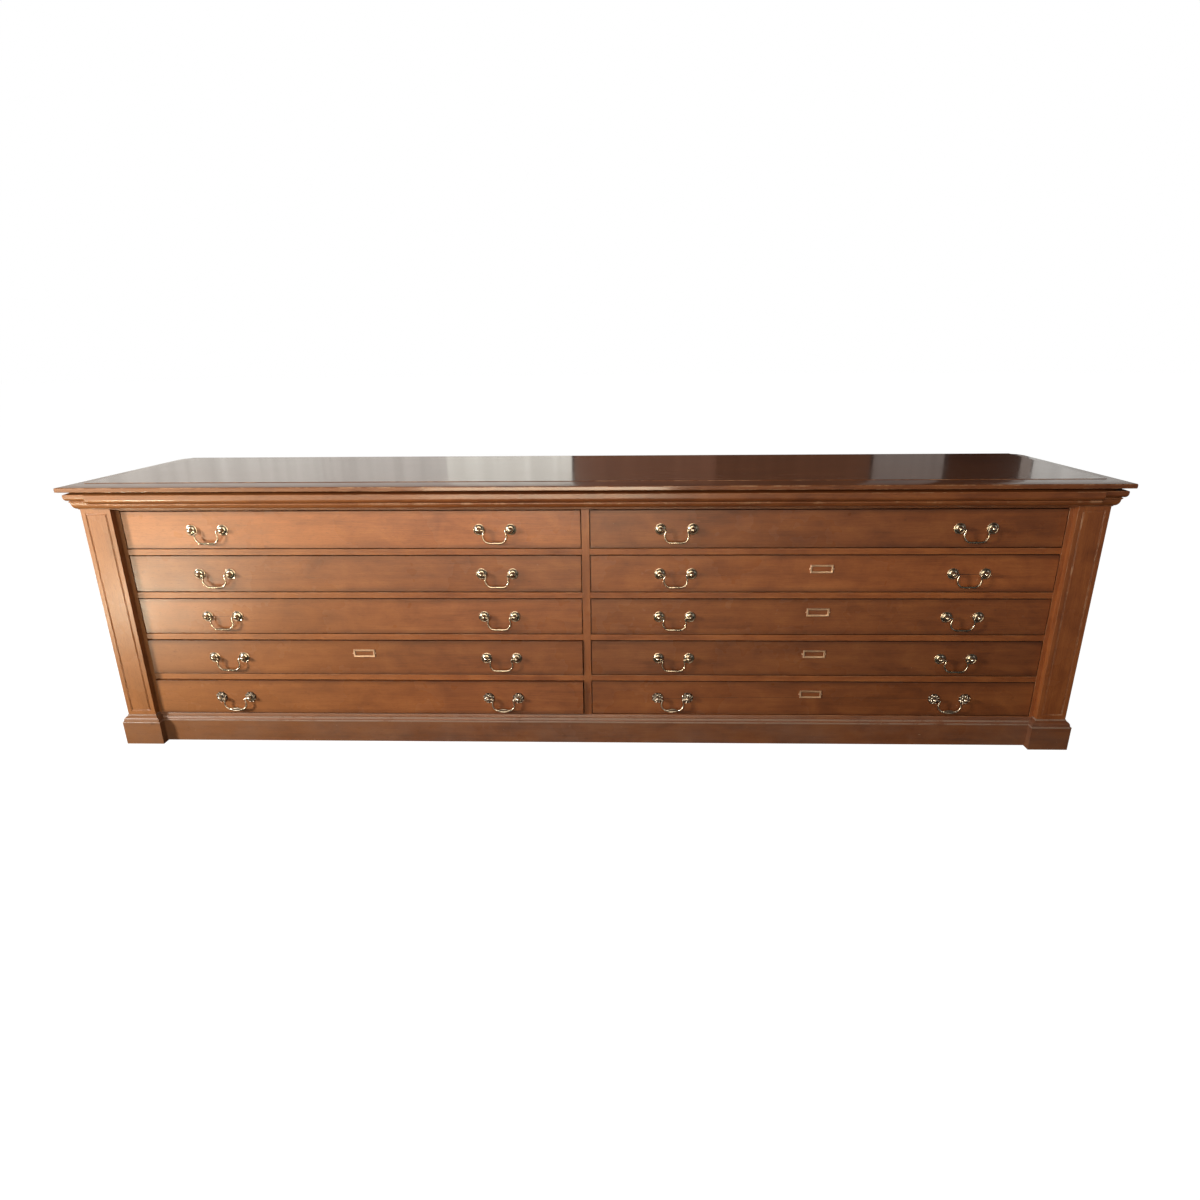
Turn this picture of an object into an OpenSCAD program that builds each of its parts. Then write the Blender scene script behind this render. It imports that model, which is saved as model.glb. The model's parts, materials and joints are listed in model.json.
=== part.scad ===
// Flat file cabinet: a long, low plan chest with two columns of five shallow
// drawers, brass swan-neck handles, corner pilasters, a cornice and a plinth.
// Millimetres. X runs along the width, the front faces -Y, and Z is up. The
// origin is on the floor, under the middle of the chest.

/* [Case] */
// Width over the two corner pilasters
case_w = 3000; // [2400:20:3400]
// Depth of the top board from its front edge to the wall side
depth = 728; // [660:2:900]
// Thickness of the top board
top_t = 20; // [18:1:30]
// How far the top board overhangs the pilasters
overhang = 39; // [38:1:60]
// Height from the floor to the lowest drawer opening
plinth_h = 97; // [96:1:140]
// Height of the frieze above the drawers, which the cornice covers
frieze_h = 63; // [62:1:80]
// Width of each corner pilaster
pilaster_w = 90; // [70:1:120]
// How far each pilaster stands in front of the drawers
pilaster_out = 25; // [20:1:30]
// Visible width of the narrow stile beside each pilaster
stile_w = 12; // [8:1:20]
// Width of the upright between the two drawer columns
muntin_w = 24; // [20:1:40]
// Height of each rail between two drawers
rail_h = 18.5; // [16:0.5:26]
// Thickness of the side boards
side_t = 24; // [18:1:30]

/* [Drawers] */
// Number of drawers in each column
rows = 5; // [5:1:5]
// Height of a drawer front
front_h = 112.2; // [105:0.1:130]
// Thickness of a drawer front
front_t = 22; // [20:1:26]
// Gap all round a drawer front
gap = 1.8; // [0.8:0.1:2]
// Thickness of the drawer sides
drawer_side_t = 12; // [10:1:16]
// How far the lowest left drawer stands out, left not quite shut
ajar_low = 8; // [0:1:12]
// How far the drawer above it stands out
ajar_next = 4; // [0:1:12]

/* [Handles] */
// Distance between the two rosettes of a handle
handle_cc = 95; // [76:1:110]
// Distance from a handle's middle to the nearer end of its drawer
handle_in = 256; // [200:1:320]
// Radius of a rosette
rose_r = 17; // [14:0.5:20]
// Drop of the bail from its pivots to its grip
bail_drop = 38.6; // [36:0.2:44]
// Radius of the bail's wire
wire_r = 2.25; // [2:0.05:3]
// Radius of the bail's grip at its middle
grip_r = 3.6; // [3:0.1:5]

/* [Card frames] */
// Width of a card frame
card_w = 68; // [60:1:80]
// Height of a card frame
card_h = 25; // [22:1:30]

/* [Hidden] */
$fn = 48;
columns = [-1, 1];
letters = ["l", "r"];

// Boards that are glued together stay pieces of their own, a hair apart
hair = 0.1;

// Levels and planes that the whole case is set out from
half_w = case_w / 2;
front_edge = -depth / 2;
back_edge = depth / 2;
pilaster_y = front_edge + overhang;
face_y = pilaster_y + pilaster_out;
pitch = front_h + 2 * gap + rail_h;
drawers_top = plinth_h + rows * pitch - rail_h;
case_top = drawers_top + frieze_h;
opening_in = muntin_w / 2;
opening_out = half_w - pilaster_w - stile_w;
front_w = opening_out - opening_in - 2 * gap;
column_x = (opening_in + opening_out) / 2;
case_back = back_edge - 6;
back_t = 12;
back_lift = 20;
frame_t = 24;
inner_x = half_w - side_t;

// Cornice: its height, and where the long run gives way to the end pieces
cornice_h = 54;
cornice_z = case_top - cornice_h;
run_end = half_w - 41;

// Pilaster panels: their margin, and the width of the lines round them
panel_in = 13;
panel_line = 1.5;

// Plinth: the blocks under the pilasters, and the board between them
block_z = 73;
block_out = 16;
block_d = 95;
board_out = 14;
board_lift = 3;
pilaster_z = plinth_h + 1.5;

// Drawer box, and the strips that carry it
arris = 1.2;
box_clear = 3;
box_drop = 0.4 - gap;
box_h = 98;
box_len = 600;
box_back_t = 10;
back_low = 6;
box_out = opening_out - gap - box_clear;
bottom_t = 8;
bottom_lift = 8;
bottom_z = 72;
partition_t = 18;
rail_d = 50;
runner_w = 28;
guide_w = 20;
guide_h = 30;
stop_x = 400;
stop_y = face_y + front_t + 0.5;
stop_w = 40;
stop_h = 5;
stop_d = 24;

// Handles and card frames
pivot_out = 14;
ball_r = 7.5;
rose_t = 6;
shank_r = 3;
neck_r = 4.6;
shank_play = 0.2;
nut_t = 4;
nut_r = 6.5;
pin_play = 0.05;
pin_in = 2;
eye_r = 5;
eye_x = 10.5;
eye_back = 20;
corner_r = 20;
bead_short = 0.2;
bead_proud = 0.15;
card_bar = 5.5;
card_t = 2.6;
card_lap = 2;
card_slot = 0.9;
lug_r = 2.2;
lug_t = 1.8;
card_z = front_h * 0.63;

drawers = [for (column = [0, 1]) for (row = [1:rows]) [column, row]];
handle_sides = [-1, 1];

function tag(d) = str(letters[d[0]], d[1]);
function drawer_x(d) = columns[d[0]] * column_x;
function drawer_z(d) = plinth_h + gap + (rows - d[1]) * pitch;
function pull(d) = d[0] == 1 ? 0 : d[1] == rows ? ajar_low : d[1] == rows - 1 ? ajar_next : 0;
function has_card(d) = d[0] == 0 ? d[1] == 4 : d[1] >= 2;
function bail_tag(d, side) = str(tag(d), side < 0 ? "_left" : "_right");

// ---------------------------------------------------------------- profiles
// A moulding profile is a list of [out, up] points from its foot to its top,
// where out is how far it stands beyond the face that it is worked on.

function arc(centre, r, from, to, steps = 6) =
    [for (i = [0:steps]) let (a = from + (to - from) * i / steps) centre + r * [cos(a), sin(a)]];

// Edge of the top board: a square fascia under a wide, shallow thumb moulding
function top_edge() = concat(
    [[-1.5, 0], [0, 1.5], [0, 10]],
    arc([-3, 10], 3, 18, 80, 3),
    [[-12, 14.6], [-30, 17], [-56, 18.6], [-58, 18.6], [-58.6, top_t]]
);

// Cornice: fillet, ovolo, bead, quirk, corona, and a weathered top
function cornice_profile(bead_z, bead_out, bead_r, corona_out) = concat(
    [[3, 0], [3, 2.5]],
    [for (a = [18:18:90]) [3 + (bead_out - 6) * sin(a), 2.5 + (bead_z - bead_r - 3.5) * (1 - cos(a))]],
    arc([bead_out - bead_r, bead_z], bead_r, -80, 80),
    [[bead_out - bead_r - 1.5, bead_z + bead_r + 1], [bead_out, bead_z + bead_r + 1.6]],
    [for (a = [18:18:90]) [bead_out + 1 + (corona_out - bead_out - 1) * sin(a),
                           bead_z + bead_r + 1.6 + 11 * (1 - cos(a))]],
    [[corona_out, 44], [corona_out - 1, 45.5], [4, 52.5], [4, cornice_h]]
);

// Top moulding of a plinth block: bead, ovolo and small top bead
function block_profile() = concat(
    [[block_out, 0], [block_out, block_z]],
    arc([block_out - 1.6, block_z + 2.2], 2.2, -50, 80, 4),
    [[block_out - 3.4, block_z + 5.6]],
    [for (a = [0:20:80]) [3.6 + (block_out - 7) * cos(a), block_z + 6 + 13 * sin(a)]],
    [[2, block_z + 20.5]],
    arc([0.4, block_z + 23], 2, -60, 60, 4),
    [[0, pilaster_z]]
);

// Top moulding of the plinth boards: two beads that step back
function board_profile() = concat(
    [[board_out, board_lift], [board_out, block_z - 1]],
    arc([board_out - 1.6, block_z + 1.6], 2.3, -50, 80, 4),
    [[board_out - 4, block_z + 4.6], [board_out - 5.6, block_z + 7.4]],
    arc([board_out - 8, block_z + 10.4], 2.3, -50, 80, 4),
    [[board_out - 10.4, block_z + 13.4], [board_out - 11.4, block_z + 19.5], [board_out - 13, plinth_h - 1.5]]
);

// A board with a profile worked on its front edge and both ends. Its width w
// and its front face at y = 0 are those of the face that the profile is on.
module moulded_board(w, d, profile) {
    z0 = profile[0][1];
    z1 = profile[len(profile) - 1][1];
    beyond = overhang + 1;
    intersection() {
        translate([-w / 2 - beyond, 0, 0]) rotate([90, 0, 90]) linear_extrude(w + 2 * beyond)
            polygon(concat([[d, z0]], [for (p = profile) [-p[0], p[1]]], [[d, z1]]));
        translate([0, d, 0]) rotate([90, 0, 0]) linear_extrude(d + beyond)
            polygon(concat([for (p = profile) [w / 2 + p[0], p[1]]],
                           [for (i = [len(profile) - 1:-1:0]) [-w / 2 - profile[i][0], profile[i][1]]]));
    }
}

// A straight length of moulding along X, worked on its front only
module moulded_strip(x0, x1, d, profile) {
    z0 = profile[0][1];
    z1 = profile[len(profile) - 1][1];
    translate([x0, 0, 0]) rotate([90, 0, 90]) linear_extrude(x1 - x0)
        polygon(concat([[d, z0]], [for (p = profile) [-p[0], p[1]]], [[d, z1]]));
}

// A plain board between two values on each axis
module board(x, y, z) {
    translate([x[0], y[0], z[0]]) cube([x[1] - x[0], y[1] - y[0], z[1] - z[0]]);
}

module both_sides() {
    children();
    mirror([1, 0, 0]) children();
}

// -------------------------------------------------------------------- case
module top_board() {
    color("saddlebrown") translate([0, front_edge, case_top])
        moulded_board(case_w + 2 * overhang, depth, top_edge());
}

// One long run across the front, and an end piece that turns each corner
module cornice() {
    ends = cornice_profile(bead_z = 24, bead_out = 18, bead_r = 2.2, corona_out = 27);
    run = cornice_profile(bead_z = 16.5, bead_out = 25, bead_r = 3, corona_out = 35);
    color("sienna") translate([0, pilaster_y, cornice_z]) {
        moulded_strip(hair - run_end, run_end - hair, pilaster_out, run);
        difference() {
            moulded_board(case_w, case_back - pilaster_y, ends);
            board([-half_w, half_w], [pilaster_out, depth], [-1, cornice_h + 1]);
            board([-run_end, run_end], [-overhang - 1, depth], [-1, cornice_h + 1]);
        }
    }
}

// A rectangular groove, panel_line wide, with a bead left standing inside it
module panel_bead(x, z, y) {
    for (i = [0, 1]) let (in = i * 2 * panel_line) difference() {
        board([x[0] + in, x[1] - in], [y - 1, y + panel_line], [z[0] + in, z[1] - in]);
        board([x[0] + in + panel_line, x[1] - in - panel_line], [y - 2, y + panel_line + 1],
              [z[0] + in + panel_line, z[1] - in - panel_line]);
    }
}

module pilasters() {
    x = [half_w - pilaster_w, half_w];
    color("sienna") both_sides() difference() {
        board(x, [pilaster_y, face_y], [pilaster_z, cornice_z]);
        panel_bead([x[0] + panel_in, x[1] - panel_in], [pilaster_z + panel_in, cornice_z - panel_in],
                   pilaster_y);
    }
}

// Side boards, and the stiles that close the case beside the drawers
module case_sides() {
    color("sienna") both_sides() {
        board([inner_x, half_w], [face_y + frame_t, case_back], [0, case_top]);
        board([opening_out, half_w], [face_y, face_y + frame_t], [0, case_top]);
    }
}

module back_panel() {
    color("peru") board([-inner_x, inner_x], [case_back - back_t, case_back], [back_lift, case_top]);
}

// The muntin seen between the columns, and the partition behind it
module centre_divider() {
    color("sienna") {
        board([-opening_in, opening_in], [face_y, face_y + frame_t], [plinth_h - rail_h, drawers_top]);
        board([-partition_t / 2, partition_t / 2], [face_y + frame_t + hair, case_back - back_t],
              [bottom_z, case_top]);
    }
}

// The rails under every drawer with their stops, the apron and the top rail
module drawer_rails() {
    color("sienna") {
        board([-opening_out, opening_out], [face_y, face_y + frame_t],
              [board_lift, plinth_h - rail_h - hair]);
        board([-opening_out, opening_out], [face_y, face_y + frame_t], [drawers_top + hair, case_top]);
        both_sides() for (level = [0:rows - 1]) let (z = plinth_h + level * pitch) {
            board([opening_in, opening_out], [face_y, face_y + rail_d], [z - rail_h, z]);
            for (side = [-1, 1]) let (x = column_x + side * stop_x)
                board([x - stop_w / 2, x + stop_w / 2], [stop_y, stop_y + stop_d], [z + hair, z + stop_h]);
        }
    }
}

// Runners with their guides under each drawer, and kickers above the top ones
module drawer_runners() {
    y = [face_y + rail_d, case_back - back_t];
    color("peru") both_sides() {
        for (level = [0:rows - 1]) let (z = plinth_h + level * pitch) {
            board([partition_t / 2, partition_t / 2 + runner_w], y, [z - rail_h, z]);
            board([box_out - runner_w, inner_x], y, [z - rail_h, z]);
            board([box_out + 1, box_out + 1 + guide_w], y, [z + hair, z + guide_h]);
        }
        board([partition_t / 2, partition_t / 2 + runner_w], y, [drawers_top, drawers_top + rail_h]);
        board([box_out - runner_w, inner_x], y, [drawers_top, drawers_top + rail_h]);
    }
}

module bottom_board() {
    color("peru") board([-inner_x, inner_x], [face_y + frame_t, case_back - back_t],
                        [bottom_z - back_t, bottom_z]);
}

module plinth_blocks(room = 0) {
    both_sides() translate([half_w - pilaster_w / 2, pilaster_y, 0]) difference() {
        moulded_board(pilaster_w + 2 * room, block_d, block_profile());
        board([-pilaster_w, pilaster_w / 2], [pilaster_out, block_d + 1], [-1, case_top]);
    }
}

// Front board, two side boards, and the blocks under the pilasters
module plinth() {
    color("sienna") {
        plinth_blocks();
        difference() {
            translate([0, face_y, 0]) moulded_strip(-half_w, half_w, 0, board_profile());
            plinth_blocks(hair);
            both_sides() board([half_w - pilaster_w, half_w + 1], [-depth, face_y + 1], [-1, case_top]);
        }
        translate([0, pilaster_y + block_d + hair, 0]) difference() {
            moulded_board(case_w, case_back - pilaster_y - block_d - hair, board_profile());
            board([-half_w, half_w], [-depth, depth], [-1, case_top]);
            board([-case_w, case_w], [-depth, 0], [-1, case_top]);
        }
    }
}

// ----------------------------------------------------------------- drawers
module at_drawer(d) {
    translate([drawer_x(d), face_y - pull(d), drawer_z(d)]) children();
}

// Places the children at a drawer's rosettes on one end of each handle, or on
// both ends, turned so that +Z is out
module at_rosettes(ends = [-1, 1]) {
    for (side = handle_sides) for (end = ends)
        translate([side * (front_w / 2 - handle_in) + end * handle_cc / 2, 0, front_h / 2])
            rotate([90, 0, 0]) children();
}

module drawer_front(d) {
    w = front_w / 2;
    color("sienna") at_drawer(d) difference() {
        intersection() {
            board([-w, w], [0, front_t], [0, front_h]);
            translate([0, 0, front_h / 2]) rotate([90, 0, 90]) linear_extrude(front_w, center = true)
                polygon([[front_t, -front_h / 2], [arris, -front_h / 2], [0, arris - front_h / 2],
                         [0, front_h / 2 - arris], [arris, front_h / 2], [front_t, front_h / 2]]);
            linear_extrude(front_h)
                polygon([[-w, front_t], [-w, arris], [arris - w, 0],
                         [w - arris, 0], [w, arris], [w, front_t]]);
        }
        at_rosettes() translate([0, 0, -front_t - 1]) cylinder(r = shank_r + shank_play, h = front_t + 2);
    }
}

module drawer_box(d) {
    w = front_w / 2 - box_clear;
    in = w - drawer_side_t - hair;
    y = [front_t + hair, front_t + box_len];
    color("burlywood") at_drawer(d) translate([0, 0, box_drop]) {
        for (side = [-1, 1])
            translate([side * (w - drawer_side_t / 2), 0, 0])
                board([-drawer_side_t / 2, drawer_side_t / 2], y, [0, box_h]);
        board([-in, in], [y[1] - box_back_t, y[1]], [bottom_lift + bottom_t + hair, box_h - back_low]);
        board([-in, in], y, [bottom_lift, bottom_lift + bottom_t]);
    }
}

// Rosette plate: a turned disc, domed towards its middle
module rosette() {
    rotate_extrude() polygon([[shank_r + shank_play, 0], [rose_r, 0], [rose_r, 1.4], [rose_r - 1, 2.4],
                              [rose_r - 3, 2.6], [rose_r - 4.5, 3.4], [rose_r - 7, 5.2], [7, rose_t],
                              [shank_r + shank_play, rose_t]]);
}

// Post: a shank through the drawer front, and a ball that holds the bail
module post(towards) {
    shank_end = -front_t - nut_t - 3;
    difference() {
        union() {
            translate([0, 0, shank_end]) cylinder(r = shank_r, h = rose_t + 1 - shank_end);
            translate([0, 0, rose_t + hair]) cylinder(r = neck_r, h = pivot_out - rose_t - hair);
            translate([0, 0, pivot_out]) sphere(r = ball_r);
        }
        translate([towards * (pin_in - pin_play * 5), 0, pivot_out]) rotate([0, towards * 90, 0])
            cylinder(r = wire_r + pin_play, h = ball_r + 1);
    }
}

module nut() {
    translate([0, 0, -front_t - nut_t - hair]) difference() {
        cylinder(r = nut_r, h = nut_t, $fn = 6);
        translate([0, 0, -1]) cylinder(r = shank_r + shank_play, h = nut_t + 2);
    }
}

// A flat plate lying on a drawer front, smaller than a card frame by inset
module plate(inset, z) {
    board([inset - card_w / 2, card_w / 2 - inset], [inset - card_h / 2, card_h / 2 - inset], z);
}

// A frame for a paper card: window, card slot behind it, and two lugs
module card_frame() {
    translate([0, 0, card_z]) rotate([90, 0, 0]) {
        difference() {
            plate(0, [0, card_t]);
            plate(card_bar, [-1, card_t + 1]);
            plate(card_bar - card_lap, [-1, card_slot]);
        }
        for (side = [-1, 1]) translate([side * (card_w / 2 + lug_r - 1), 0, 0])
            cylinder(r = lug_r, h = lug_t);
    }
}

module drawer_hardware(d) {
    color("goldenrod") at_drawer(d) {
        at_rosettes() {
            rosette();
            nut();
        }
        for (end = [-1, 1]) at_rosettes([end]) post(-end);
        if (has_card(d)) card_frame();
    }
}

// ------------------------------------------------------------------- bails
// A stretch of round wire bent about a centre, in the XZ plane. Every stretch
// stops a little short of its ends, where a bead of the same metal joins them.
module bend(centre, r, from, to) {
    short = asin(bead_short / r);
    translate([centre[0], 0, centre[1]]) rotate([90, 0, 0]) rotate([0, 0, from + short])
        rotate_extrude(angle = to - from - 2 * short) translate([r, 0]) circle(r = wire_r);
}

module rod(point, turn, length, r1, r2) {
    translate([point[0], 0, point[1]]) rotate([0, turn, 0]) translate([0, 0, bead_short])
        cylinder(r1 = r1, r2 = r2, h = length - 2 * bead_short);
}

module bead(point, turn, r) {
    translate([point[0], 0, point[1]]) rotate([0, turn, 0]) sphere(r = r + bead_proud);
}

// Half of a swan-neck bail, from the pin in its left ball to its middle
module half_bail() {
    bottom = corner_r - bail_drop;
    eye_end = [eye_x + eye_r * cos(eye_back), -eye_r - eye_r * sin(eye_back)];
    neck = (eye_end[1] - bottom - corner_r * sin(eye_back)) / cos(eye_back);
    neck_end = eye_end - neck * [sin(eye_back), cos(eye_back)];
    corner_x = neck_end[0] + corner_r * cos(eye_back);
    grip_half = handle_cc / 2 - corner_x;
    translate([-handle_cc / 2, 0, 0]) {
        rod([pin_in, 0], 90, eye_x - pin_in, wire_r, wire_r);
        bead([eye_x, 0], 90, wire_r);
        bend([eye_x, -eye_r], eye_r, -eye_back, 90);
        bead(eye_end, 180 + eye_back, wire_r);
        rod(eye_end, 180 + eye_back, neck, wire_r, wire_r);
        bead(neck_end, 180 + eye_back, wire_r);
        bend([corner_x, bottom], corner_r, 180 - eye_back, 270);
        bead([corner_x, -bail_drop], 90, wire_r);
        rod([corner_x, -bail_drop], 90, grip_half, wire_r, grip_r);
    }
}

module bail(d, side) {
    color("goldenrod") at_drawer(d)
        translate([side * (front_w / 2 - handle_in), -pivot_out, front_h / 2]) {
            both_sides() half_bail();
            bead([0, -bail_drop], 90, grip_r);
        }
}

top_board();
cornice();
pilasters();
case_sides();
back_panel();
centre_divider();
drawer_rails();
drawer_runners();
bottom_board();
plinth();
for (d = drawers) drawer_front(d);
for (d = drawers) drawer_box(d);
for (d = drawers) drawer_hardware(d);
for (d = drawers) for (side = handle_sides)
    bail(d, side);
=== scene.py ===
import json
import math

import bmesh
import bpy
import numpy as np
from mathutils import Matrix, Vector

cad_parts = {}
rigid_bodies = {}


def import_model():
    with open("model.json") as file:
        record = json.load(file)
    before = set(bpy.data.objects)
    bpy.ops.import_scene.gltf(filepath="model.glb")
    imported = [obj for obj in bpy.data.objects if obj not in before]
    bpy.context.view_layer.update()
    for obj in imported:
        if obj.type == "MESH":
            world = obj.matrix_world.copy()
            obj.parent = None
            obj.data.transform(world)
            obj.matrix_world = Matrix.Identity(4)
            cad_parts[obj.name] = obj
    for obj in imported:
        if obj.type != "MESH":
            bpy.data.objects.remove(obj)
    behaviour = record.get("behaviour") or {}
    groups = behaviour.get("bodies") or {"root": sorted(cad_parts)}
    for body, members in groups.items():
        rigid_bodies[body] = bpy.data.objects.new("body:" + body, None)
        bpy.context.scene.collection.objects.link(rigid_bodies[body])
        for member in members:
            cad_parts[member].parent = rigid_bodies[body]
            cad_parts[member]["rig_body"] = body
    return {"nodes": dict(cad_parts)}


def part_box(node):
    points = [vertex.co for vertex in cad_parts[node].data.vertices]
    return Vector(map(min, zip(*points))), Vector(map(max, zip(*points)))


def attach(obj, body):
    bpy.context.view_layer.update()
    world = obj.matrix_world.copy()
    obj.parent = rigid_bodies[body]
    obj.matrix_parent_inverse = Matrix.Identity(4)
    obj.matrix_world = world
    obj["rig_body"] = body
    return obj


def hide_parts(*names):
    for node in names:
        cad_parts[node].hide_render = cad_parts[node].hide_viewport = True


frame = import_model()
nodes = frame["nodes"]


def write_size():
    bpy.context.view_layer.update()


write_size()

MM = 0.001
COLUMNS = ("l", "r")
ROWS = (1, 2, 3, 4, 5)
DRAWERS = [f"{column}{row}" for column in COLUMNS for row in ROWS]
ORNATE = ("l5", "r5")                        # drawers with cast leaf handles
LABELLED = ("l4", "r2", "r3", "r4", "r5")    # drawers with a card frame


# ------------------------------------------------------------------ camera
CAMERA_AT = (0.13354, -2.80245, 1.16629)
CAMERA_YAW, CAMERA_PITCH, CAMERA_ROLL = 0.0380, 0.3868, -0.0095    # radians; pitch looks down
CAMERA_LENS = 25.313
CAMERA_RISE = 0.0833


def make_camera():
    """A wide view from just right of the middle, from standing height, a little downwards."""
    right = Vector((math.cos(CAMERA_YAW), math.sin(CAMERA_YAW), 0))
    ahead = Vector((-math.sin(CAMERA_YAW), math.cos(CAMERA_YAW), 0))
    above = Vector((0, 0, 1))
    forward = ahead * math.cos(CAMERA_PITCH) - above * math.sin(CAMERA_PITCH)
    up = ahead * math.sin(CAMERA_PITCH) + above * math.cos(CAMERA_PITCH)
    axis_x = right * math.cos(CAMERA_ROLL) + up * math.sin(CAMERA_ROLL)
    axis_y = up * math.cos(CAMERA_ROLL) - right * math.sin(CAMERA_ROLL)
    turn = Matrix((axis_x, axis_y, -forward)).transposed().to_4x4()
    data = bpy.data.cameras.new("camera")
    data.lens = CAMERA_LENS
    data.shift_y = CAMERA_RISE
    data.clip_end = 200
    camera = bpy.data.objects.new("camera", data)
    camera.matrix_world = Matrix.Translation(CAMERA_AT) @ turn
    bpy.context.scene.collection.objects.link(camera)
    bpy.context.scene.camera = camera


# --------------------------------------------------------------- materials
class Tree:
    """The shader nodes of one material."""

    def __init__(self, name):
        self.material = bpy.data.materials.new(name)
        self.material.use_nodes = True
        self.tree = self.material.node_tree
        self.shader = self.tree.nodes["Principled BSDF"]

    def add(self, kind, **settings):
        """A new node; settings that start with in_ go to its inputs, the others to itself."""
        node = self.tree.nodes.new(kind)
        for key, value in settings.items():
            if key.startswith("in_"):
                node.inputs[key[3:].replace("_", " ")].default_value = value
            else:
                setattr(node, key, value)
        return node

    def link(self, out, into):
        self.tree.links.new(out, into)

    def place(self, scale, offset=(0, 0, 0)):
        """Coordinates that stay with the piece, stretched by scale."""
        source = self.add("ShaderNodeTexCoord")
        mapping = self.add("ShaderNodeMapping")
        mapping.inputs["Scale"].default_value = scale
        mapping.inputs["Location"].default_value = offset
        self.link(source.outputs["Object"], mapping.inputs["Vector"])
        return mapping.outputs["Vector"]

    def axis(self, name, coordinates="Object"):
        """One coordinate of the piece: X, Y or Z."""
        parts = self.add("ShaderNodeSeparateXYZ")
        self.link(self.add("ShaderNodeTexCoord").outputs[coordinates], parts.inputs["Vector"])
        return parts.outputs[name]

    def noise(self, scale, offset=(0, 0, 0), detail=4.0, rough=0.55, distortion=0.0):
        node = self.add("ShaderNodeTexNoise", in_Scale=1.0, in_Detail=detail, in_Roughness=rough,
                        in_Distortion=distortion)
        self.link(self.place(scale, offset), node.inputs["Vector"])
        return node.outputs["Fac"]

    def ramp(self, value, stops):
        """Colours at given values, blended between them."""
        node = self.add("ShaderNodeValToRGB")
        bar = node.color_ramp
        while len(bar.elements) < len(stops):
            bar.elements.new(0.5)
        for element, (at, colour) in zip(bar.elements, stops):
            element.position = at
            element.color = (*colour, 1)
        self.link(value, node.inputs["Fac"])
        return node.outputs["Color"]

    def rescale(self, value, low, high, to_low=0.0, to_high=1.0):
        """The value's span from low to high, stretched to another span and held inside it."""
        node = self.add("ShaderNodeMapRange", clamp=True)
        node.inputs["From Min"].default_value = low
        node.inputs["From Max"].default_value = high
        node.inputs["To Min"].default_value = to_low
        node.inputs["To Max"].default_value = to_high
        self.link(value, node.inputs["Value"])
        return node.outputs["Result"]

    def math(self, operation, a, b):
        node = self.add("ShaderNodeMath", operation=operation)
        for socket, value in zip(node.inputs, (a, b)):
            if isinstance(value, (int, float)):
                socket.default_value = value
            else:
                self.link(value, socket)
        return node.outputs["Value"]

    def mix(self, share, a, b, blend="MIX"):
        """Colour a with a share of colour b over it."""
        node = self.add("ShaderNodeMix", data_type="RGBA", blend_type=blend)
        for socket, value in ((node.inputs[0], share), (node.inputs[6], a), (node.inputs[7], b)):
            if isinstance(value, (int, float)):
                socket.default_value = value
            elif isinstance(value, tuple):
                socket.default_value = (*value, 1)
            else:
                self.link(value, socket)
        return node.outputs[2]

    def bump(self, height, strength, distance, socket="Normal"):
        """Fine relief in the shading."""
        node = self.add("ShaderNodeBump", in_Strength=strength, in_Distance=distance)
        self.link(height, node.inputs["Height"])
        self.link(node.outputs["Normal"], self.shader.inputs[socket])


def scaled(colour, share):
    """The colour made darker, or lighter where share is over one."""
    return tuple(share * c for c in colour)


def along(axis, with_grain, across):
    """A scale for a grain that runs along one axis."""
    return tuple(with_grain if i == axis else across for i in range(3))


MAHOGANY_DARK = (0.165, 0.043, 0.0110)
MAHOGANY_MID = (0.310, 0.092, 0.0235)
MAHOGANY_LIGHT = (0.430, 0.145, 0.0390)
# painted light: the wood's lit colour, laid on towards the window end
MAHOGANY_WINDOW_LIT = (0.44, 0.195, 0.062)
BARE_KNOCK = (0.56, 0.32, 0.19)
BARE_EDGE = (0.50, 0.25, 0.13)
SETTLED_DUST = (0.26, 0.20, 0.165)


def mahogany_figure(t, axis, shift, tone):
    """The wood's colour and fibres: drift along the board, mottle, ribbon bands, and painted light
    at the left end.
    """
    drift = t.noise(along(axis, 0.9, 2.5), shift, 2.0)
    mottle = t.noise(along(axis, 9.0, 15.0), shift, 4.0, 0.6, 0.6)
    ribbon = t.noise(along(axis, 2.6, 42.0), shift, 5.0, 0.6, 0.3)
    fibre = t.noise(along(axis, 14.0, 520.0), shift, 3.0, 0.6)
    figure = t.math("ADD", t.math("MULTIPLY", mottle, 0.42), t.math("MULTIPLY", ribbon, 0.33))
    figure = t.math("ADD", figure, t.math("MULTIPLY", fibre, 0.25))
    colour = t.ramp(figure, ((0.34, scaled(MAHOGANY_DARK, tone)),
                             (0.50, scaled(MAHOGANY_MID, tone)),
                             (0.66, scaled(MAHOGANY_LIGHT, tone))))
    shade = t.ramp(drift, ((0.25, (0.84, 0.82, 0.80)), (0.75, (1.10, 1.07, 1.04))))
    colour = t.mix(1.0, colour, shade, "MULTIPLY")
    # painted light: lighter and yellower towards the left end, where the window light falls
    window_light_share = t.rescale(t.axis("X"), -0.4, -1.5, 0.0, 0.5)
    return t.mix(window_light_share, colour, scaled(MAHOGANY_WINDOW_LIT, tone)), fibre


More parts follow.
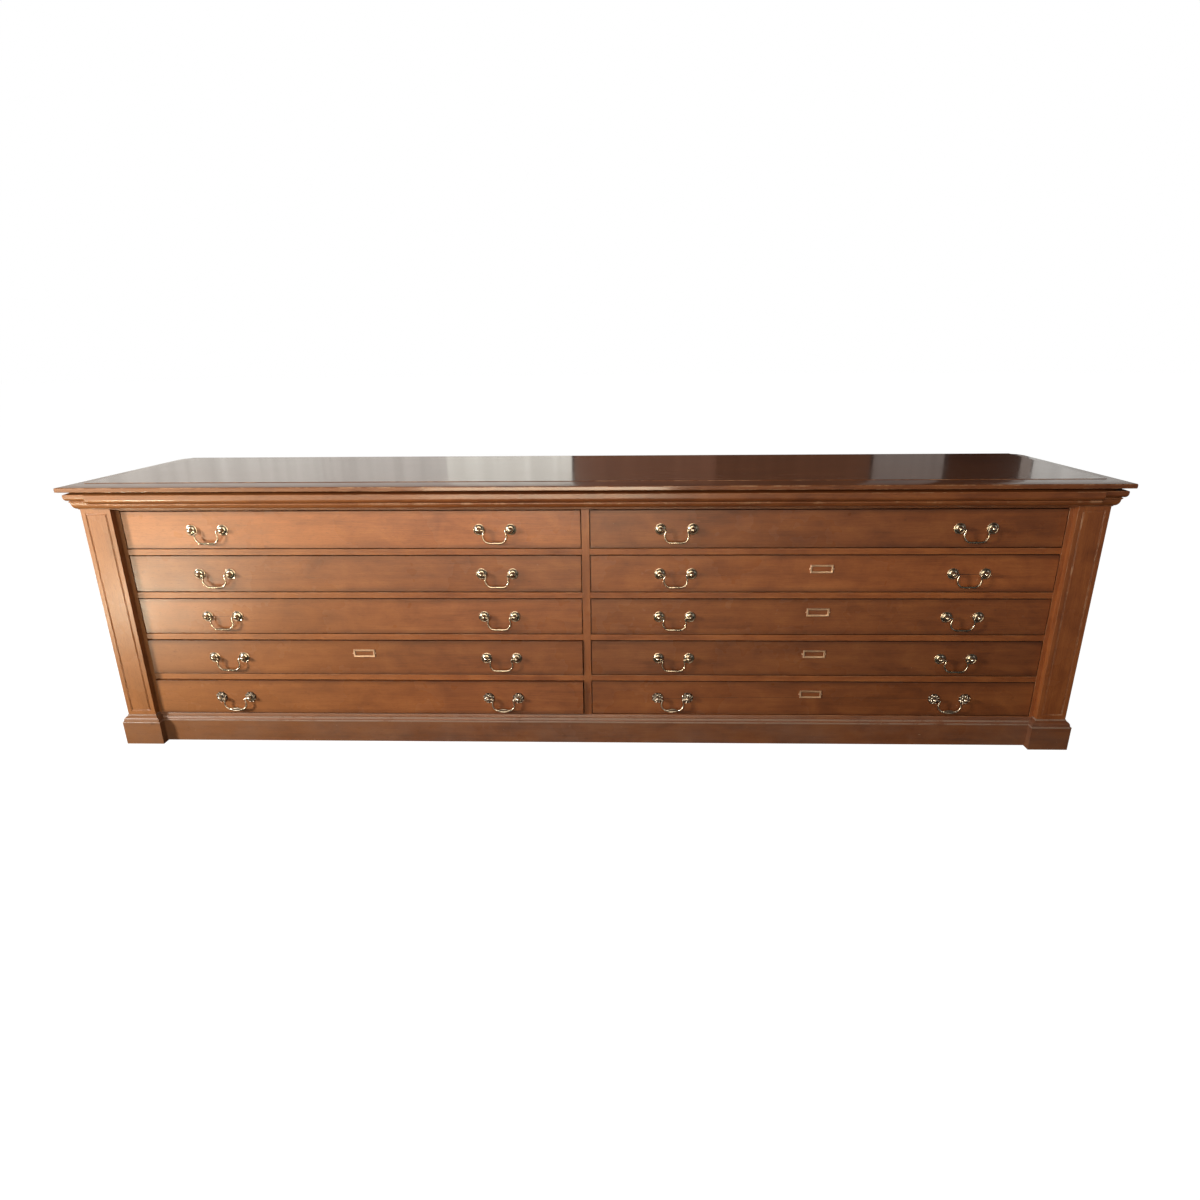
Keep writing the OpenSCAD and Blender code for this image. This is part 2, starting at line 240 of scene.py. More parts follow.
def marks_and_edges(t, colour, axis, shift, back, stain, edge_cover, knocked, edge_wear_and_light):
    """Dark marks, small pale knocks, and edges in the given colour: rubbed wear on most pieces,
    painted shade on the drawer fronts, rubbed wear with painted highlight on the plinth's beads.
    """
    marks = t.noise(along(axis, 16.0, 30.0), back, 5.0, 0.65)
    colour = t.mix(t.rescale(marks, 0.66, 0.80, 0.0, 0.6), colour, stain)
    knocks = t.noise(along(axis, 42.0, 110.0), tuple(2.3 * s for s in shift), 3.0, 0.7)
    colour = t.mix(t.rescale(knocks, knocked, knocked + 0.03, 0.0, 0.6), colour, BARE_KNOCK)
    edge = t.add("ShaderNodeAttribute", attribute_name="edge").outputs["Fac"]
    edge_noise = t.noise((14.0, 14.0, 14.0), shift, 5.0, 0.75)
    patchy = t.rescale(edge_noise, 0.56 - 0.1 * edge_cover, 0.68 - 0.1 * edge_cover, 0.1, 0.85)
    # edges take the edge colour: pale for wear, dark for painted shade on the drawer fronts, pale
    # for painted highlight on the plinth's beads
    return t.mix(t.math("MULTIPLY", edge, patchy), colour, edge_wear_and_light)


def polished_wood(name, axis, seed, tone=1.0, coat=0.5, coat_rough=0.2, edge_cover=0.5, wave=0.02,
                  dust=0.0, edge_wear_and_light=BARE_EDGE, knocked=0.735, painted_gap_shade=0.0):
    """Old French-polished mahogany, with its grain along axis; seed picks another board."""
    t = Tree(name)
    shift = (seed * 3.7, seed * 5.3, seed * 7.9)
    back = tuple(-1.7 * s for s in shift)
    patches = t.noise((4.0, 4.0, 4.0), back, 4.0, 0.6)
    colour, fibre = mahogany_figure(t, axis, shift, tone)
    # open pores: short dark dashes along the grain
    pores = t.rescale(t.noise(along(axis, 70.0, 1300.0), shift, 2.0, 0.5), 0.60, 0.70, 0.0, 0.5)
    colour = t.mix(pores, colour, scaled(MAHOGANY_DARK, 0.35 * tone))
    stain = scaled(MAHOGANY_DARK, 0.3 * tone)
    colour = marks_and_edges(t, colour, axis, shift, back, stain, edge_cover, knocked, edge_wear_and_light)
    if painted_gap_shade:
        # painted shade along the upper and the lower edge, in the dark stain colour, where the gaps
        # by the rails fall dark
        off_middle = t.math("ABSOLUTE", t.math("SUBTRACT", t.axis("Z", "Generated"), 0.5), 0.0)
        gap_shade_share = t.math("MULTIPLY", t.rescale(off_middle, 0.36, 0.5, 0.0, painted_gap_shade),
                           t.rescale(patches, 0.3, 0.6, 0.4, 1.0))
        colour = t.mix(gap_shade_share, colour, stain)
    if dust:
        settled = t.noise((7.0, 7.0, 11.0), back, 5.0, 0.65)
        film = t.rescale(settled, 0.35, 0.7, 0.4 * dust, 1.6 * dust)
        colour = t.mix(film, colour, SETTLED_DUST)
    t.link(colour, t.shader.inputs["Base Color"])
    # polish: patchy gloss over a duller body, slightly wavy
    gloss = t.rescale(patches, 0.3, 0.7, coat_rough * 0.75, coat_rough * 1.35)
    t.link(gloss, t.shader.inputs["Coat Roughness"])
    t.shader.inputs["Coat Weight"].default_value = coat
    t.shader.inputs["Coat IOR"].default_value = 1.5
    t.shader.inputs["Roughness"].default_value = 0.42
    t.shader.inputs["Specular IOR Level"].default_value = 0.5
    t.bump(t.math("SUBTRACT", fibre, t.math("MULTIPLY", pores, 0.8)), 0.2, 0.0003)
    t.bump(t.noise(along(axis, 2.5, 7.0), shift, 2.0, 0.4), wave, 0.001, "Coat Normal")
    return t.material


def raw_wood(name, axis, seed, light, dark):
    """Unpolished secondary wood of the carcase and the drawer boxes."""
    t = Tree(name)
    shift = (seed * 2.9, seed * 4.1, seed * 6.7)
    ring = t.noise(along(axis, 1.3, 26.0), shift, 5.0, 0.55, 0.4)
    fibre = t.noise(along(axis, 8.0, 380.0), shift, 3.0, 0.6)
    body = t.math("ADD", t.math("MULTIPLY", ring, 0.7), t.math("MULTIPLY", fibre, 0.3))
    colour = t.ramp(body, ((0.33, dark), (0.62, light)))
    stain = t.noise((3.0, 3.0, 3.0), shift, 4.0, 0.6)
    colour = t.mix(t.rescale(stain, 0.5, 0.75, 0.0, 0.5), colour, scaled(dark, 0.6))
    t.link(colour, t.shader.inputs["Base Color"])
    t.shader.inputs["Roughness"].default_value = 0.75
    t.bump(fibre, 0.3, 0.0005)
    return t.material


def old_metal(name, clean, tarnish, rough, amount, seed=1.0):
    """Cast brass or bronze, bright where it is handled and dull in its hollows."""
    t = Tree(name)
    shift = (seed, seed * 2.0, seed * 3.0)
    cloud = t.noise((160.0, 160.0, 160.0), shift, 5.0, 0.65)
    speck = t.noise((900.0, 900.0, 900.0), shift, 3.0, 0.6)
    spots = t.math("ADD", t.math("MULTIPLY", cloud, 0.7), t.math("MULTIPLY", speck, 0.3))
    share = t.rescale(spots, 0.62 - 0.3 * amount, 0.82 - 0.3 * amount)
    hollow = t.add("ShaderNodeAttribute", attribute_name="hollow").outputs["Fac"]
    share = t.math("MAXIMUM", share, hollow)
    t.link(t.mix(share, clean, tarnish), t.shader.inputs["Base Color"])
    t.shader.inputs["Metallic"].default_value = 1.0
    t.link(t.rescale(share, 0.0, 1.0, rough, rough + 0.22), t.shader.inputs["Roughness"])
    t.bump(speck, 0.2, 0.0002)
    return t.material


# ------------------------------------------------------------ mesh building
NARROW = 2.2 * MM            # faces thinner than this take the edge colour, as the eased corners do
SHARP = math.radians(28)     # corners sharper than this are eased


def new_object(name, mesh, material, sharp_deg=40):
    """An object of one material, shaded smooth except at sharp corners."""
    mesh.materials.clear()
    mesh.materials.append(material)
    for polygon in mesh.polygons:
        polygon.use_smooth = True
        polygon.material_index = 0
    mesh.set_sharp_from_angle(angle=math.radians(sharp_deg))
    thing = bpy.data.objects.new(name, mesh)
    bpy.context.scene.collection.objects.link(thing)
    return thing


def eased(node, name, material, width):
    """A copy of a CAD piece whose sharp corners are rounded over, as on planed and waxed wood."""
    shape = bmesh.new()
    shape.from_mesh(nodes[node].data)
    bmesh.ops.remove_doubles(shape, verts=shape.verts, dist=1e-5)
    bmesh.ops.dissolve_limit(shape, angle_limit=math.radians(0.4), verts=shape.verts,
                             edges=shape.edges)
    sharp = [e for e in shape.edges
             if len(e.link_faces) == 2 and e.calc_face_angle(0) > SHARP]
    mark = shape.faces.layers.float.new("edge")
    made = bmesh.ops.bevel(shape, geom=sharp, offset=width, offset_type="OFFSET", segments=2,
                           profile=0.5, affect="EDGES", clamp_overlap=True)
    for face in made["faces"]:
        face[mark] = 1.0
    for face in shape.faces:
        longest = max(edge.calc_length() for edge in face.edges)
        if face.calc_area() < NARROW * longest:
            face[mark] = 1.0
    mesh = bpy.data.meshes.new(name)
    shape.to_mesh(mesh)
    shape.free()
    thing = new_object(name, mesh, material)
    level = thing.modifiers.new("level", "WEIGHTED_NORMAL")
    level.keep_sharp = True
    level.weight = 100
    return thing


def wood_piece(node, name, material, width):
    """Puts an eased, polished copy in the place of a CAD piece."""
    thing = eased(node, name, material, width)
    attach(thing, nodes[node]["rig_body"])
    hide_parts(node)
    return thing


def around(at, radius, height, segments):
    """A ring of points about the -Y direction, at a height out from the given place."""
    angles = [2 * math.pi * j / segments for j in range(segments)]
    return [(at[0] + radius * math.cos(a), at[1] - height, at[2] + radius * math.sin(a))
            for a in angles]


class Shape:
    """Vertices and faces of a mesh that is put together from several surfaces."""

    def __init__(self):
        self.points = []
        self.faces = []
        self.hollow = []

    def grid(self, rows, capped=True, hollow=None):
        """A tube through closed rows of points; hollow says, point by point, where dirt gathers."""
        base = len(self.points)
        count = len(rows[0])
        for row in rows:
            self.points += [tuple(float(c) for c in p) for p in row]
        clean = np.zeros(len(rows) * count)
        self.hollow += list(np.ravel(hollow) if hollow is not None else clean)
        for i in range(len(rows) - 1):
            for j in range(count):
                a, b = base + i * count + j, base + i * count + (j + 1) % count
                self.faces.append((a, b, b + count, a + count))
        if capped:
            self.faces.append(tuple(base + j for j in reversed(range(count))))
            self.faces.append(tuple(base + (len(rows) - 1) * count + j for j in range(count)))

    def revolve(self, profile, at, segments=40):
        """A form turned about -Y; the profile's triples are radius, height and hollow."""
        rows = [around(at, radius, height, segments) for radius, height, _ in profile]
        self.grid(rows, hollow=np.repeat([hollow for _, _, hollow in profile], segments))

    def sweep(self, path, radii, segments, lobes, lobe_depth):
        """A bar along a path in the XZ plane, round but for lobes of a given depth."""
        dirt = []
        path = np.asarray(path, float)
        ahead = np.gradient(path, axis=0)
        ahead /= np.linalg.norm(ahead, axis=1)[:, None]
        side = np.array((0.0, 1.0, 0.0))
        rows = []
        for i, (point, way) in enumerate(zip(path, ahead)):
            other = np.cross(way, side)
            ring = []
            for j in range(segments):
                a = 2 * math.pi * j / segments
                r = radii[i] * (1 + lobe_depth[i] * math.cos(lobes * a))
                dirt.append(3.0 * lobe_depth[i] * (1 - math.cos(lobes * a)))
                ring.append(point + r * (side * math.cos(a) + other * math.sin(a)))
            rows.append(ring)
        self.grid(rows, hollow=dirt)

    def mesh(self, name):
        """The finished mesh, with all its faces turned outwards."""
        mesh = bpy.data.meshes.new(name)
        mesh.from_pydata(self.points, [], self.faces)
        mesh.update()
        hollow = mesh.attributes.new("hollow", "FLOAT", "POINT")
        hollow.data.foreach_set("value", np.clip(self.hollow, 0, 1).astype(np.float32))
        shape = bmesh.new()
        shape.from_mesh(mesh)
        bmesh.ops.recalc_face_normals(shape, faces=shape.faces)
        shape.to_mesh(mesh)
        shape.free()
        return mesh


# ----------------------------------------------------------------- handles
HANDLE_CC = 95 * MM         # between a handle's two posts
PIVOT_MM = 14.0             # the balls' height over the drawer front
BALL_MM = 6.8
DROP = 38.6 * MM            # from the pivot down to the middle of the grip
EYE_X, EYE_R, EYE_BACK = 10.5 * MM, 5 * MM, math.radians(20)
CORNER_R = 20 * MM
BAIL_RISE = 2.4 * MM        # the bail's upper edge over its pivot
FRONT_MM = 22.0             # thickness of a drawer front
PETALS = 8
CARD_HEIGHT = 0.63          # of the drawer front's height


def arc_points(cx, cz, r, start, end, count):
    """Points on an arc in the XZ plane."""
    return [(cx + r * math.cos(a), 0.0, cz + r * math.sin(a))
            for a in np.linspace(start, end, count)]


def half_bail_path():
    """From the ball of the left rosette, round its neck and corner, to the middle of the grip."""
    x0 = -HANDLE_CC / 2
    eye = arc_points(x0 + EYE_X, -EYE_R, EYE_R, math.pi / 2, -EYE_BACK, 14)
    bottom = CORNER_R - DROP
    neck = (eye[-1][2] - bottom - CORNER_R * math.sin(EYE_BACK)) / math.cos(EYE_BACK)
    end_x = eye[-1][0] - neck * math.sin(EYE_BACK)
    corner_x = end_x + CORNER_R * math.cos(EYE_BACK)
    corner = arc_points(corner_x, bottom, CORNER_R, math.pi - EYE_BACK, 1.5 * math.pi, 18)
    straight = [(x0 + 2 * MM, 0.0, 0.0), (x0 + 6 * MM, 0.0, 0.0)]
    grip = [(x, 0.0, -DROP) for x in np.linspace(corner_x, 0, 16)[1:]]
    return straight + eye + corner + grip


def smoothed(path):
    """The path with its joints eased."""
    for _ in range(3):
        inner = path[1:-1] * 0.5 + (path[:-2] + path[2:]) * 0.25
        path = np.vstack((path[:1], inner, path[-1:]))
    return path


def resampled(path, step):
    """Points at even steps along the path, and each one's share of its length."""
    lengths = np.concatenate(([0], np.cumsum(np.linalg.norm(np.diff(path, axis=0), axis=1))))
    at = np.linspace(0, lengths[-1], int(lengths[-1] / step) + 1)
    points = np.column_stack([np.interp(at, lengths, path[:, i]) for i in range(3)])
    return points, at / lengths[-1]


def bail_mesh(name, ornate):
    """A swan-neck bail, thickest at its grip; the ornate one has a lobed leaf and collars."""
    half = np.array(half_bail_path())
    whole = np.vstack((half, (half * (-1, 1, 1))[-2::-1]))
    path, share = resampled(smoothed(whole), 1.2 * MM)
    middle = np.abs(share - 0.5) * 2
    radii = np.interp(middle, (0.0, 0.22, 0.36, 0.62, 0.80, 1.0),
                      np.array((3.6, 3.1, 2.5, 2.3, 2.1, 2.3)) * MM)
    lobes = np.zeros(len(path))
    if ornate:
        leaf = np.clip(1 - (middle / 0.24) ** 2, 0, 1)
        radii = radii + (1.7 * np.sqrt(leaf) + 0.3 * np.cos(share * 260) * leaf) * MM
        collar = np.exp(-((middle - 0.29) / 0.018) ** 2) + np.exp(-((middle - 0.80) / 0.02) ** 2)
        radii = radii + 1.1 * collar * MM
        lobes = 0.16 * leaf
    shape = Shape()
    shape.sweep(path, radii, segments=28 if ornate else 18, lobes=7, lobe_depth=lobes)
    return shape.mesh(name)


def with_ball(foot):
    """The foot's profile in millimetres, then the pivot's ball, which closes it."""
    start = math.asin(min(1.0, foot[-1][0] / BALL_MM))
    return foot + [(BALL_MM * math.sin(a), PIVOT_MM + BALL_MM * math.cos(a), 0.0)
                   for a in np.linspace(math.pi - start, 0.04, 14)]


def in_metres(profile):
    """A profile of radius, height and hollow, with its lengths in metres."""
    return [(radius * MM, height * MM, hollow) for radius, height, hollow in profile]


def plain_rosette(shape, at):
    """A stepped plate: flat rim, groove, low dome, and the post with its ball."""
    rim = [(17.0, 0.0, 0.0), (17.0, 1.2, 0.0), (16.5, 2.0, 0.0), (15.4, 2.3, 0.0)]
    groove = [(14.5, 1.9, 0.5), (13.8, 1.4, 1.0), (13.1, 1.9, 0.5)]
    dome = [(11.8, 3.2, 0.0), (9.8, 4.4, 0.0), (8.0, 5.0, 0.0)]
    neck = [(7.0, 5.0, 0.6), (6.2, 4.9, 1.0), (4.4, 5.6, 1.0), (3.9, 7.4, 0.9)]
    shape.revolve(in_metres(with_ball(rim + groove + dome + neck)), at)


def petal_relief(radius, angle):
    """Height in millimetres and dirt of a cast rosette of looped petals."""
    cell = (angle * PETALS / (2 * math.pi)) % 1.0 - 0.5
    across = cell * radius * 2 * math.pi / PETALS
    loop = math.hypot((radius - 12.2) / 4.6, across / 3.9)
    ridge = math.exp(-((loop - 0.95) / 0.26) ** 2)
    heart = math.exp(-(loop / 0.34) ** 2)
    dome = 4.6 * (1 - (radius / 19.0) ** 2)
    return 0.6 + dome + 1.9 * ridge + 1.2 * heart, 1.15 - 1.5 * ridge - 1.0 * heart


def petal_rosette(shape, at, segments=144):
    """A cast plate of looped petals with a scalloped rim, and the post with its ball."""
    rows, dirt = [], []
    for radius in np.concatenate(([18.2, 18.2], np.linspace(17.9, 5.0, 17))):
        ring = []
        for j in range(segments):
            a = 2 * math.pi * j / segments
            scallop = 1 - 0.075 * (0.5 + 0.5 * math.cos(PETALS * a)) * (radius > 13)
            height, hollow = petal_relief(radius, a)
            if len(rows) < 2:
                height = 0.7 * len(rows)
            ring.append((at[0] + radius * scallop * MM * math.cos(a), at[1] - height * MM,
                         at[2] + radius * scallop * MM * math.sin(a)))
            dirt.append(hollow)
        rows.append(ring)
    shape.grid(rows, hollow=dirt)
    foot = [(6.6, 3.0, 1.0), (6.6, 6.6, 0.9), (5.0, 7.2, 1.0), (4.6, 8.2, 1.0)]
    shape.revolve(in_metres(with_ball(foot)), at, 28)


def shank_and_nut(shape, at):
    """The post's shank through the drawer front, and its hexagon nut on the inside."""
    back = FRONT_MM + 0.1
    shape.grid([around(at, 6.5 * MM, -depth * MM, 6) for depth in (back, back + 4)])
    shape.revolve(in_metres([(3.0, -29.0, 0.5), (3.0, 4.5, 0.5)]), at, 20)


def card_frame(shape, centre):
    """A pressed brass frame with a bevelled window, a slot behind it and two pins at its ends."""
    x, y, z = centre
    half_width, half_height = 34.0, 12.5
    # inwards from the outer edge: (inset, height over the drawer front, dirt), in millimetres
    section = ((0.0, 0.0, 0.0), (0.0, 1.9, 0.0), (0.8, 2.6, 0.0), (4.4, 2.6, 0.0),
               (5.4, 1.9, 1.0), (5.4, 0.9, 1.0), (3.6, 0.9, 1.0), (3.6, 0.0, 1.0))
    rings, dirt = [], []
    for inset, out, hollow in section:
        dx, dz, front = (half_width - inset) * MM, (half_height - inset) * MM, y - out * MM
        rings.append([(x - dx, front, z - dz), (x + dx, front, z - dz),
                      (x + dx, front, z + dz), (x - dx, front, z + dz)])
        dirt.append([hollow] * 4)
    first = len(shape.points)
    last = first + 4 * (len(rings) - 1)
    shape.grid(rings, capped=False, hollow=dirt)
    for j in range(4):
        k = (j + 1) % 4
        shape.faces.append((last + j, last + k, first + k, first + j))
    pin = [(2.2, 0.0, 0.0), (2.2, 1.2, 0.0), (1.6, 1.8, 0.3), (1.2, 2.1, 0.0), (0.2, 2.2, 0.0)]
    for side in (-1, 1):
        shape.revolve(in_metres(pin), (x + side * 35.2 * MM, y, z), 20)


def handle_middle(tag, side):
    """The point of a drawer front midway between a handle's two posts."""
    low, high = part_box(f"bail_{tag}_{side}")
    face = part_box(f"drawer_front_{tag}")[0].y
    return Vector(((low.x + high.x) / 2, face, high.z - BAIL_RISE))


def make_handles(brass, bronze, copper):
    """Plates, posts, nuts, bails and card frames, in place of the plainer CAD ones."""
    meshes = {False: bail_mesh("bail_plain", False), True: bail_mesh("bail_leaf", True)}
    for tag in DRAWERS:
        ornate = tag in ORNATE
        metal, slot = (bronze, "bronze") if ornate else (brass, "brass")
        shape = Shape()
        for side in ("left", "right"):
            middle = handle_middle(tag, side)
            for end in (-1, 1):
                at = (middle.x + end * HANDLE_CC / 2, middle.y, middle.z)
                (petal_rosette if ornate else plain_rosette)(shape, at)
                shank_and_nut(shape, at)
            bail = new_object(f"cast_bail_{tag}_{side}", meshes[ornate], metal, 50)
            bail.location = middle + Vector((0, -PIVOT_MM * MM, 0))
            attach(bail, f"bail_{tag}_{side}")
            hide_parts(f"bail_{tag}_{side}")
        if tag in LABELLED:
            low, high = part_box(f"drawer_front_{tag}")
            label = Shape()
            height = low.z + CARD_HEIGHT * (high.z - low.z)
            card_frame(label, ((low.x + high.x) / 2, low.y, height))
            holder = new_object(f"card_frame_{tag}", label.mesh(f"card_frame_{tag}"), copper, 35)
            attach(holder, f"drawer_{tag}")
        fittings = new_object(f"fittings_{tag}", shape.mesh(f"fittings_{tag}"), metal, 35)
        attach(fittings, f"drawer_{tag}")
        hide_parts(f"drawer_hardware_{tag}")


# -------------------------------------------------------------------- case
def make_case():
    """Polished outer pieces, and the CAD meshes themselves, in bare wood, inside and behind."""
    top = polished_wood("top_mahogany", 0, 1.0, tone=0.7, coat=1.0, coat_rough=0.10, edge_cover=0.7,
                        wave=0.01)
    run = polished_wood("moulding_mahogany", 0, 2.0, tone=0.86, coat=0.8, coat_rough=0.16,
                        edge_cover=0.4)
    post = polished_wood("upright_mahogany", 2, 3.0, coat=0.4, coat_rough=0.25, edge_cover=0.5)
    # plinth: its pale bead crests are rubbed wear and painted highlight together
    foot = polished_wood("plinth_mahogany", 0, 4.0, tone=0.74, coat=0.3, coat_rough=0.3, edge_cover=2.2,
                         dust=0.15, edge_wear_and_light=(0.40, 0.25, 0.18), knocked=0.71)
    rail = polished_wood("rail_mahogany", 0, 5.0, tone=1.08, coat=0.3, coat_rough=0.3, edge_cover=0.8)
    wood_piece("top_board", "polished_top", top, 0.8 * MM)
    wood_piece("cornice", "cornice_moulding", run, 0.4 * MM)
    wood_piece("pilasters", "corner_pilasters", post, 0.6 * MM)
    wood_piece("case_sides", "side_boards", post, 0.8 * MM)
    wood_piece("centre_divider", "muntin_and_partition", post, 0.8 * MM)
    wood_piece("drawer_rails", "rails", rail, 0.9 * MM)
    wood_piece("plinth", "plinth_mouldings", foot, 0.6 * MM)
    pale, brown = (0.42, 0.25, 0.12), (0.24, 0.125, 0.055)
    inner = raw_wood("case_pine", 0, 1.0, pale, brown)
    deep = raw_wood("box_pine", 1, 2.0, pale, brown)
    for node in ("back_panel", "bottom_board"):
        nodes[node].data.materials.clear()
        nodes[node].data.materials.append(inner)
    for node in ["drawer_runners"] + [f"drawer_box_{tag}" for tag in DRAWERS]:
        nodes[node].data.materials.clear()
        nodes[node].data.materials.append(deep)


# each front has its own tone, fitted to its brightness: partly the board's own tone, partly painted
# light and shade; r1's is lowered as painted shade at its right end
FRONT_TONE_AND_LIGHT = {"l1": 1.22, "l2": 0.88, "l3": 1.02, "l4": 0.88, "l5": 0.98,
         "r1": 0.88, "r2": 1.06, "r3": 0.90, "r4": 0.77, "r5": 0.86}


# painted shade: the dark of the gaps round each drawer front, laid on its eased edges
EDGE_GAP_SHADE = (0.045, 0.018, 0.010)


def make_fronts():
    """Drawer fronts, with painted shade along their edges and the gaps round them."""
    for i, tag in enumerate(DRAWERS):
        wood = polished_wood(f"front_mahogany_{tag}", 0, 11.0 + i, tone=FRONT_TONE_AND_LIGHT[tag], coat=0.5,
                             coat_rough=0.28, edge_cover=2.2, edge_wear_and_light=EDGE_GAP_SHADE, painted_gap_shade=0.55)
        wood_piece(f"drawer_front_{tag}", f"front_{tag}", wood, 0.7 * MM)


# ------------------------------------------------------------ stage, lights
def area_light(name, at, towards, width, height, watts, colour, shines):
    """A soft lamp; one that doesn't shine leaves no reflection in the polish."""
    data = bpy.data.lights.new(name, "AREA")
    data.shape = "RECTANGLE"
    data.size, data.size_y = width, height
    data.energy, data.color = watts, colour
    lamp = bpy.data.objects.new(name, data)
    lamp.location = at
    lamp.visible_camera = False
    lamp.visible_glossy = shines
    way = Vector(towards) - Vector(at)
    lamp.rotation_mode = "QUATERNION"
    lamp.rotation_quaternion = way.to_track_quat("-Z", "Y")
    bpy.context.scene.collection.objects.link(lamp)


def stage_piece(name, mesh, material, camera=False, glossy=False):
    """A piece of the stage that only the camera, or only polished surfaces, can see."""
    mesh.materials.append(material)
    thing = bpy.data.objects.new(name, mesh)
    bpy.context.scene.collection.objects.link(thing)
    thing.visible_camera = camera
    thing.visible_transmission = camera
    thing.visible_glossy = glossy
    thing.visible_diffuse = False
    thing.visible_shadow = False
    thing.visible_volume_scatter = False


def rectangle(name, low, high):
    """A rectangle whose lower edge runs along X at low, and whose upper edge is at high."""
    (x0, y0, z0), (x1, y1, z1) = low, high
    mesh = bpy.data.meshes.new(name)
    mesh.from_pydata([(x0, y0, z0), (x1, y0, z0), (x1, y1, z1), (x0, y1, z1)], [], [(0, 1, 2, 3)])
    return mesh


def glowing(name, strength):
    """A material that only gives light, and its emission node."""
    t = Tree(name)
    glow = t.add("ShaderNodeEmission", in_Strength=strength)
    t.link(glow.outputs["Emission"], t.tree.nodes["Material Output"].inputs["Surface"])
    return t, glow


def card(name, low, high, strength, colour):
    """A glowing card that only polished surfaces reflect, with faint upright folds."""
    t, glow = glowing(name, strength)
    fold = t.noise((14.0, 1.0, 0.4), (0, 0, 0), 3.0, 0.6)
    t.link(t.ramp(fold, ((0.3, scaled(colour, 0.74)), (0.7, colour))), glow.inputs["Color"])
    stage_piece(name, rectangle(name, low, high), t.material, glossy=True)


def make_stage():
    """A pale floor, and a white surround that only the camera sees."""
    size = 60.0
    t = Tree("floor_paint")
    t.shader.inputs["Base Color"].default_value = (0.12, 0.12, 0.12, 1)
    t.shader.inputs["Roughness"].default_value = 0.9
    t.shader.inputs["Emission Color"].default_value = (1, 1, 1, 1)
    t.shader.inputs["Emission Strength"].default_value = 1.0
    stage_piece("floor", rectangle("floor", (-size, -size, 0), (size, size, 0)), t.material,
                camera=True)
    mesh = bpy.data.meshes.new("surround")
    shape = bmesh.new()
    bmesh.ops.create_uvsphere(shape, u_segments=32, v_segments=16, radius=size - 2)
    shape.to_mesh(mesh)
    shape.free()
    stage_piece("surround", mesh, glowing("surround_paint", 1.0)[0].material, camera=True)


# name: (centre, aimed at, width, height, watts, colour, shines); "patch" is sun on the floor
LAMPS = {
    "patch_near": ((-2.3, -1.9, 0.02), (-2.3, -1.9, 1.0), 0.35, 0.35, 42.0, (1.0, 0.96, 0.74),
                   True),
    "patch_far": ((-2.6, -4.2, 0.02), (-2.6, -4.2, 1.0), 2.2, 2.2, 62.0, (1.0, 0.93, 0.70), True),
    "window": ((-3.6, -2.0, 1.3), (-0.3, -0.3, 0.45), 0.45, 0.6, 128.0, (1.0, 0.98, 0.92), True),
    "front": ((-0.8, -5.0, 2.2), (0.0, -0.3, 0.45), 3.0, 3.0, 96.0, (1.0, 0.88, 0.72), True),
    "overhead": ((0.0, -0.6, 3.2), (0.0, -0.2, 0.0), 2.5, 2.5, 6.0, (1.0, 0.96, 0.92), False),
    "right": ((4.4, -2.2, 1.5), (1.3, -0.2, 0.4), 1.5, 1.5, 8.0, (0.85, 0.92, 1.0), True),
    "back": ((0.5, 4.6, 2.6), (0.0, 0.4, 0.4), 3.0, 2.0, 40.0, (1.0, 0.97, 0.93), False),
}

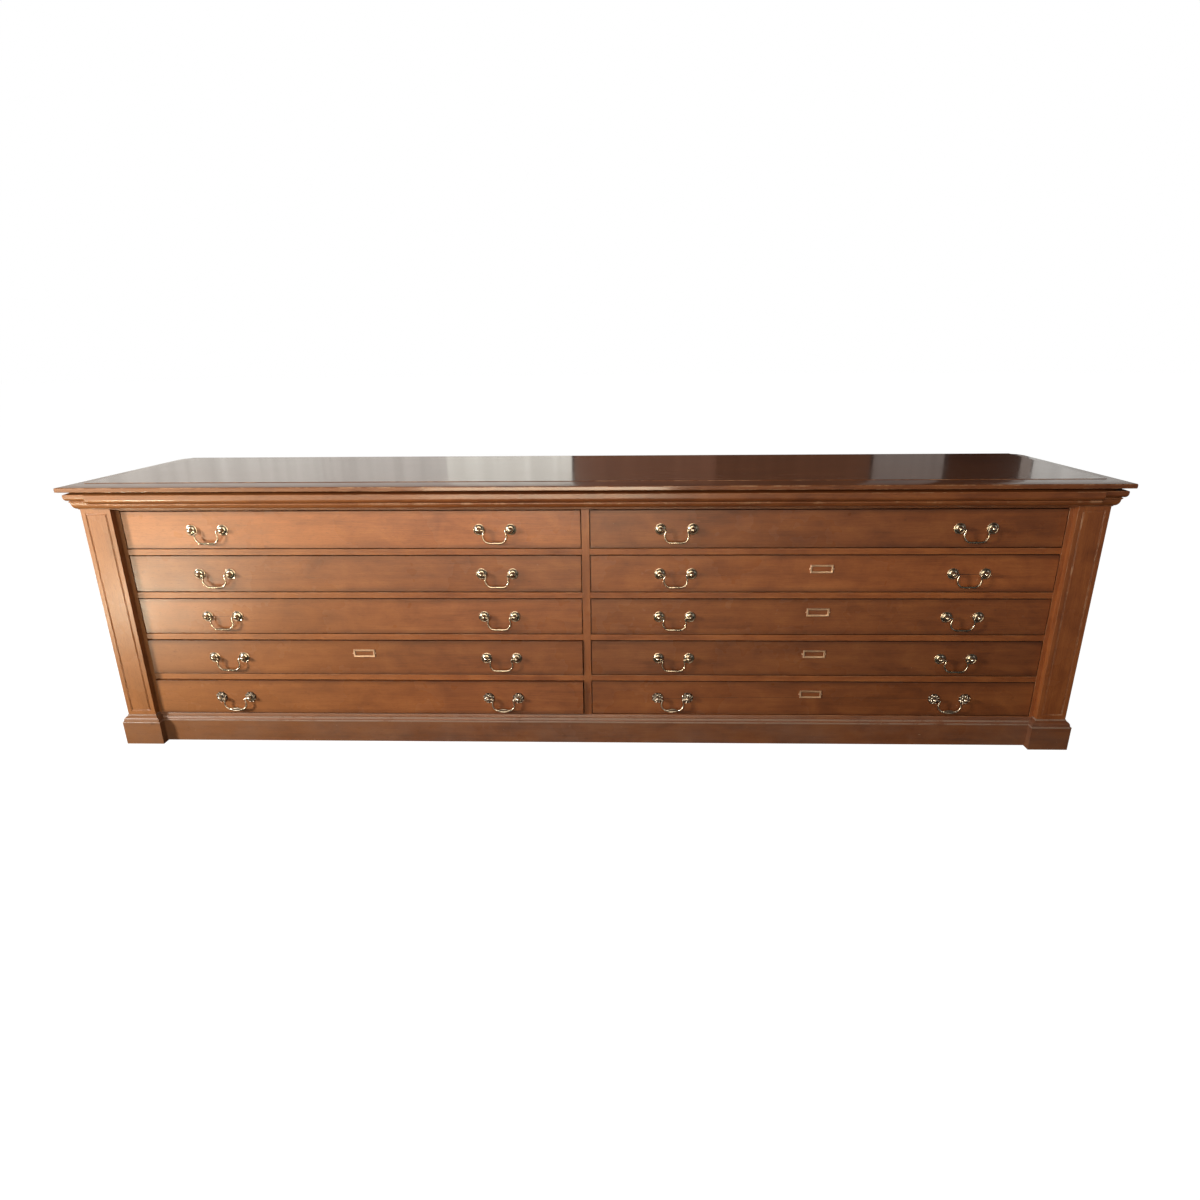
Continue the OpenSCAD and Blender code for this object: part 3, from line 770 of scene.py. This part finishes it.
# what the polished top reflects, on a wall behind the chest; name: (from x, to x, strength, colour)
WALL_Y = 3.0
WALL_LOW, WALL_HIGH = 0.6, 2.6
WALL_CARDS = {
    "window_left": (-6.0, -1.95, 0.87, (1.0, 0.96, 0.89)),
    "window_mullion": (-1.95, -1.10, 0.7917, (1.0, 0.95, 0.88)),
    "window_bright": (-1.10, -0.26, 1.044, (1.0, 0.97, 0.88)),
    "wood_lit": (-0.24, 0.70, 0.175, (1.0, 0.47, 0.30)),
    "wood_dim": (0.70, 1.71, 0.105, (1.0, 0.44, 0.26)),
    "window_middle": (1.73, 2.19, 0.22, (1.0, 0.86, 0.78)),
    "wood_dark": (2.22, 2.68, 0.02625, (1.0, 0.40, 0.25)),
    "window_jamb": (2.69, 2.76, 0.3, (1.0, 0.85, 0.75)),
    "window_right": (2.77, 7.0, 0.70, (1.0, 0.98, 0.93)),
}

# other things that the polish reflects; name: (low corner, high corner, strength, colour)
ROOM_CARDS = {
    "wall_high": ((-7.0, WALL_Y, 2.7), (1.0, WALL_Y, 8.0), 0.25, (1.0, 0.94, 0.88)),
    "room_front": ((-8.0, -9.0, 0.0), (8.0, -9.0, 6.0), 0.08, (1.0, 0.95, 0.88)),
    "glare": ((-1.9, -6.3, -0.2), (0.5, -6.3, 0.5), 13.0, (1.0, 0.86, 0.62)),
    "cool_floor": ((0.9, -6.0, 0.01), (5.0, -1.2, 0.01), 0.1, (0.55, 0.85, 1.0)),
}


def make_lights():
    """A dim room, soft lamps, and the cards for the polish to reflect."""
    world = bpy.data.worlds.new("room")
    world.use_nodes = True
    background = world.node_tree.nodes["Background"]
    background.inputs["Color"].default_value = (1.0, 0.93, 0.86, 1)
    background.inputs["Strength"].default_value = 0.02
    bpy.context.scene.world = world
    for name, settings in LAMPS.items():
        area_light(name, *settings)
    for name, (left, right, strength, colour) in WALL_CARDS.items():
        card(name, (left, WALL_Y, WALL_LOW), (right, WALL_Y, WALL_HIGH), strength, colour)
    for name, settings in ROOM_CARDS.items():
        card(name, *settings)


bpy.context.scene.view_settings.view_transform = "Standard"
make_camera()
make_stage()
make_lights()
make_case()
make_fronts()
make_handles(
    old_metal("brass", (0.72, 0.60, 0.45), (0.12, 0.085, 0.055), 0.24, 0.3),
    old_metal("bronze", (0.80, 0.68, 0.54), (0.05, 0.036, 0.027), 0.30, 0.25, 5.0),
    old_metal("card_brass", (0.90, 0.62, 0.42), (0.55, 0.33, 0.20), 0.45, 0.3, 9.0),
)

write_size()
